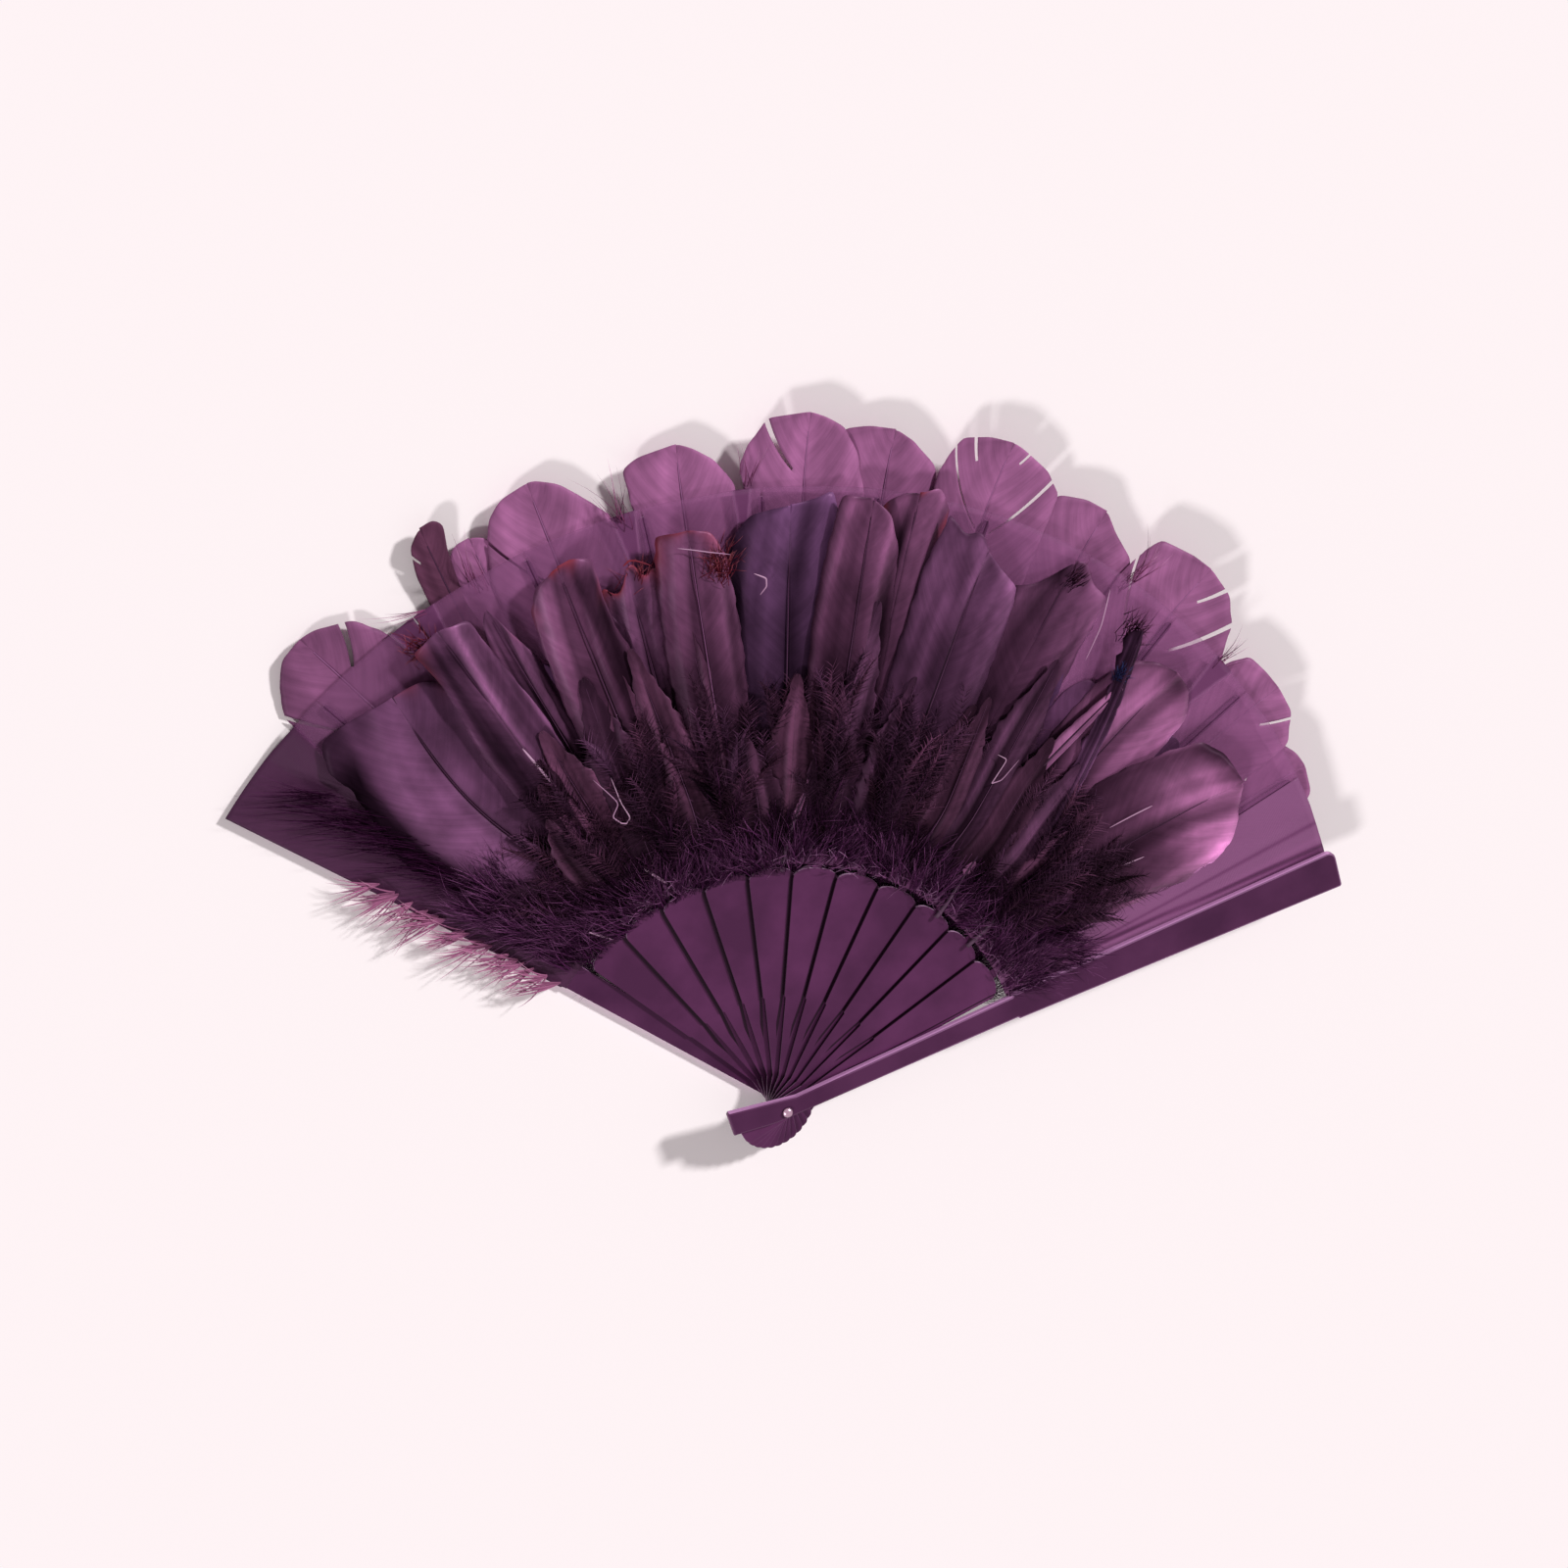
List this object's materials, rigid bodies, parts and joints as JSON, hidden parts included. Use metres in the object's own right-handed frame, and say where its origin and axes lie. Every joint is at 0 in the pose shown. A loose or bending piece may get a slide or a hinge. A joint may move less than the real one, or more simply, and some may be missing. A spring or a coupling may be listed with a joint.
{
  "type": "feather hand fan",
  "caption": "Folding hand fan, open: plastic sticks that turn on one rivet, a pleated sheer cloth leaf, and feathers on both faces of the leaf.",
  "frame": {"origin": "on the rivet's axis, at the flat end of the rivet's tail, in the plane that the fan rests on", "axes": "+Z out of the fan's front face along the rivet, +Y along the middle rib of the open fan, +X towards the front guard's side"},
  "size_m": [0.3799, 0.2452, 0.0238],
  "materials": {
    "guard_plastic": "moulded, glossy purple",
    "stick_plastic": "moulded, glossy purple",
    "rivet_metal": "pressed steel, domed head, pink cast",
    "leaf_cloth": "sheer woven cloth, pleated",
    "back_vane": "dyed goose feather, matt and translucent",
    "front_vane": "dyed goose feather, satin",
    "down": "dyed down"
  },
  "bodies": {
    "back_guard": {"back_guard": "guard_plastic", "rivet": "rivet_metal", "leaf_gore_01": "leaf_cloth"},
    "rib_01": {"rib_01": "stick_plastic", "leaf_gore_02": "leaf_cloth", "back_feather_01": "back_vane", "front_feather_01": "front_vane"},
    "rib_02": {"rib_02": "stick_plastic", "leaf_gore_03": "leaf_cloth", "back_feather_02": "back_vane", "front_feather_02": "front_vane", "front_feather_03": "front_vane", "back_plume_1": "down"},
    "rib_03": {"rib_03": "stick_plastic", "leaf_gore_04": "leaf_cloth", "back_feather_03": "back_vane", "back_feather_04": "back_vane", "front_feather_04": "front_vane"},
    "rib_04": {"rib_04": "stick_plastic", "leaf_gore_05": "leaf_cloth", "back_feather_05": "back_vane", "front_feather_05": "front_vane", "front_feather_06": "front_vane"},
    "rib_05": {"rib_05": "stick_plastic", "leaf_gore_06": "leaf_cloth", "back_feather_06": "back_vane", "front_feather_07": "front_vane", "back_plume_2": "down"},
    "rib_06": {"rib_06": "stick_plastic", "leaf_gore_07": "leaf_cloth", "back_feather_07": "back_vane", "front_feather_08": "front_vane", "front_feather_09": "front_vane"},
    "rib_07": {"rib_07": "stick_plastic", "leaf_gore_08": "leaf_cloth", "back_feather_08": "back_vane", "front_feather_10": "front_vane"},
    "rib_08": {"rib_08": "stick_plastic", "leaf_gore_09": "leaf_cloth", "back_feather_09": "back_vane", "front_feather_11": "front_vane", "back_plume_3": "down"},
    "rib_09": {"rib_09": "stick_plastic", "leaf_gore_10": "leaf_cloth", "back_feather_10": "back_vane", "front_feather_12": "front_vane", "front_feather_13": "front_vane"},
    "rib_10": {"rib_10": "stick_plastic", "leaf_gore_11": "leaf_cloth", "back_feather_11": "back_vane", "front_feather_14": "front_vane", "back_plume_4": "down"},
    "rib_11": {"rib_11": "stick_plastic", "leaf_gore_12": "leaf_cloth", "back_feather_12": "back_vane"},
    "front_guard": {"front_guard": "guard_plastic"}
  },
  "joints": [
    {"name": "rib_01_turn", "type": "hinge", "parent": "back_guard", "child": "rib_01", "pos_m": [0, 0, 0], "axis": [0, 0, 1], "range_deg": [0, 10.5], "deforming": ["leaf_gore_01", "back_feather_01", "front_feather_01"]},
    {"name": "rib_02_turn", "type": "hinge", "parent": "rib_01", "child": "rib_02", "pos_m": [0, 0, 0], "axis": [0, 0, 1], "range_deg": [0, 10.5], "deforming": ["leaf_gore_02", "back_feather_02", "front_feather_02", "front_feather_03", "back_plume_1"]},
    {"name": "rib_03_turn", "type": "hinge", "parent": "rib_02", "child": "rib_03", "pos_m": [0, 0, 0], "axis": [0, 0, 1], "range_deg": [0, 10.5], "deforming": ["leaf_gore_03", "back_feather_03", "back_feather_04", "front_feather_04"]},
    {"name": "rib_04_turn", "type": "hinge", "parent": "rib_03", "child": "rib_04", "pos_m": [0, 0, 0], "axis": [0, 0, 1], "range_deg": [0, 10.5], "deforming": ["leaf_gore_04", "back_feather_05", "front_feather_05", "front_feather_06"]},
    {"name": "rib_05_turn", "type": "hinge", "parent": "rib_04", "child": "rib_05", "pos_m": [0, 0, 0], "axis": [0, 0, 1], "range_deg": [0, 10.5], "deforming": ["leaf_gore_05", "back_feather_06", "front_feather_07", "back_plume_2"]},
    {"name": "rib_06_turn", "type": "hinge", "parent": "rib_05", "child": "rib_06", "pos_m": [0, 0, 0], "axis": [0, 0, 1], "range_deg": [0, 10.5], "deforming": ["leaf_gore_06", "back_feather_07", "front_feather_08", "front_feather_09"]},
    {"name": "rib_07_turn", "type": "hinge", "parent": "rib_06", "child": "rib_07", "pos_m": [0, 0, 0], "axis": [0, 0, 1], "range_deg": [0, 10.5], "deforming": ["leaf_gore_07", "back_feather_08", "front_feather_10"]},
    {"name": "rib_08_turn", "type": "hinge", "parent": "rib_07", "child": "rib_08", "pos_m": [0, 0, 0], "axis": [0, 0, 1], "range_deg": [0, 10.5], "deforming": ["leaf_gore_08", "back_feather_09", "front_feather_11", "back_plume_3"]},
    {"name": "rib_09_turn", "type": "hinge", "parent": "rib_08", "child": "rib_09", "pos_m": [0, 0, 0], "axis": [0, 0, 1], "range_deg": [0, 10.5], "deforming": ["leaf_gore_09", "back_feather_10", "front_feather_12", "front_feather_13"]},
    {"name": "rib_10_turn", "type": "hinge", "parent": "rib_09", "child": "rib_10", "pos_m": [0, 0, 0], "axis": [0, 0, 1], "range_deg": [0, 10.5], "deforming": ["leaf_gore_10", "back_feather_11", "front_feather_14", "back_plume_4"]},
    {"name": "rib_11_turn", "type": "hinge", "parent": "rib_10", "child": "rib_11", "pos_m": [0, 0, 0], "axis": [0, 0, 1], "range_deg": [0, 10.5], "deforming": ["leaf_gore_11", "back_feather_12"]},
    {"name": "front_guard_turn", "type": "hinge", "parent": "rib_11", "child": "front_guard", "pos_m": [0, 0, 0], "axis": [0, 0, 1], "range_deg": [0, 10.5], "deforming": ["leaf_gore_12"]}
  ],
  "couplings": [
    {"joint": "rib_02_turn", "follows": "rib_01_turn", "ratio": 1},
    {"joint": "rib_03_turn", "follows": "rib_01_turn", "ratio": 1},
    {"joint": "rib_04_turn", "follows": "rib_01_turn", "ratio": 1},
    {"joint": "rib_05_turn", "follows": "rib_01_turn", "ratio": 1},
    {"joint": "rib_06_turn", "follows": "rib_01_turn", "ratio": 1},
    {"joint": "rib_07_turn", "follows": "rib_01_turn", "ratio": 1},
    {"joint": "rib_08_turn", "follows": "rib_01_turn", "ratio": 1},
    {"joint": "rib_09_turn", "follows": "rib_01_turn", "ratio": 1},
    {"joint": "rib_10_turn", "follows": "rib_01_turn", "ratio": 1},
    {"joint": "rib_11_turn", "follows": "rib_01_turn", "ratio": 1},
    {"joint": "front_guard_turn", "follows": "rib_01_turn", "ratio": 1}
  ]
}
